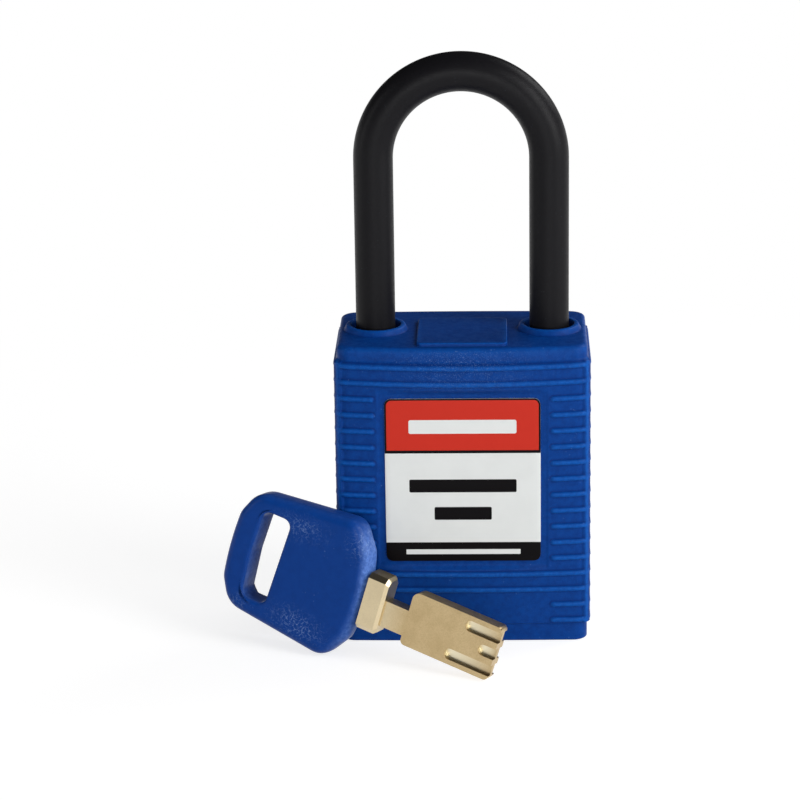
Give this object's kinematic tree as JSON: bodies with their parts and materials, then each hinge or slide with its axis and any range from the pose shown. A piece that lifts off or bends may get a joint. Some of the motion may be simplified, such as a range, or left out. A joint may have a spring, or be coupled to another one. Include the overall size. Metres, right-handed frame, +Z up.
{
  "type": "lockout padlock",
  "caption": "Lockout padlock: ridged nylon body with a front label panel, non-conductive shackle locked by balls, keyed plug in the base, and its flat key leaning against it.",
  "frame": {"origin": "centre of the padlock's flat base, under the middle of the plug", "axes": "+Z up along the shackle's legs, front with the label towards -Y, +X towards the short leg of the shackle"},
  "size_m": [0.0597, 0.0399, 0.0953],
  "materials": {
    "body_nylon": "moulded, fine grain",
    "shackle_nylon": "matte black nylon",
    "label_sheet": "printed polyester, satin",
    "key_head_nylon": "moulded, fine grain",
    "key_brass": "milled, satin",
    "lock_brass": "machined",
    "steel": "machined",
    "spring_steel": "drawn wire"
  },
  "bodies": {
    "lock": {"body": "body_nylon", "label": "label_sheet", "core_housing": "steel", "housing_ring": "steel", "heel_pin": "steel", "shackle_spring": "spring_steel", "key_bow": "key_head_nylon", "key_blade": "key_brass"},
    "plug": {"plug": "lock_brass", "plug_cap": "steel", "plug_clip": "steel", "cam": "steel", "slider_spring_1": "spring_steel", "slider_spring_2": "spring_steel", "slider_spring_3": "spring_steel", "slider_spring_4": "spring_steel", "slider_spring_5": "spring_steel", "slider_spring_6": "spring_steel"},
    "shackle": {"shackle": "shackle_nylon"},
    "ball_toe": {"ball_toe": "steel"},
    "ball_heel": {"ball_heel": "steel"},
    "slider_1": {"slider_1": "lock_brass"},
    "slider_2": {"slider_2": "lock_brass"},
    "slider_3": {"slider_3": "lock_brass"},
    "slider_4": {"slider_4": "lock_brass"},
    "slider_5": {"slider_5": "lock_brass"},
    "slider_6": {"slider_6": "lock_brass"}
  },
  "joints": [
    {"name": "plug_turn", "type": "hinge", "parent": "lock", "child": "plug", "pos_m": [0, 0, 0], "axis": [0, 0, 1], "range_deg": [0, 90]},
    {"name": "shackle_lift", "type": "slide", "parent": "lock", "child": "shackle", "axis": [0, 0, 1], "range_m": [0, 0.014], "deforming": ["shackle_spring"]},
    {"name": "ball_toe_slide", "type": "slide", "parent": "lock", "child": "ball_toe", "axis": [-1, 0, 0], "range_m": [0, 0.004]},
    {"name": "ball_heel_slide", "type": "slide", "parent": "lock", "child": "ball_heel", "axis": [1, 0, 0], "range_m": [0, 0.004]},
    {"name": "slider_1_rise", "type": "slide", "parent": "plug", "child": "slider_1", "axis": [0, 0, 1], "range_m": [0, 0.0075], "stiffness_N_per_m": 20, "springref_m": -0.002, "deforming": ["slider_spring_1"]},
    {"name": "slider_2_rise", "type": "slide", "parent": "plug", "child": "slider_2", "axis": [0, 0, 1], "range_m": [0, 0.0075], "stiffness_N_per_m": 20, "springref_m": -0.002, "deforming": ["slider_spring_2"]},
    {"name": "slider_3_rise", "type": "slide", "parent": "plug", "child": "slider_3", "axis": [0, 0, 1], "range_m": [0, 0.0075], "stiffness_N_per_m": 20, "springref_m": -0.002, "deforming": ["slider_spring_3"]},
    {"name": "slider_4_rise", "type": "slide", "parent": "plug", "child": "slider_4", "axis": [0, 0, 1], "range_m": [0, 0.0075], "stiffness_N_per_m": 20, "springref_m": -0.002, "deforming": ["slider_spring_4"]},
    {"name": "slider_5_rise", "type": "slide", "parent": "plug", "child": "slider_5", "axis": [0, 0, 1], "range_m": [0, 0.0075], "stiffness_N_per_m": 20, "springref_m": -0.002, "deforming": ["slider_spring_5"]},
    {"name": "slider_6_rise", "type": "slide", "parent": "plug", "child": "slider_6", "axis": [0, 0, 1], "range_m": [0, 0.0075], "stiffness_N_per_m": 20, "springref_m": -0.002, "deforming": ["slider_spring_6"]}
  ],
  "couplings": [
    {"joint": "shackle_lift", "follows": "plug_turn", "m_per_rad": 0.008912},
    {"joint": "ball_toe_slide", "follows": "plug_turn", "m_per_rad": 0.002546},
    {"joint": "ball_heel_slide", "follows": "plug_turn", "m_per_rad": 0.002546}
  ]
}
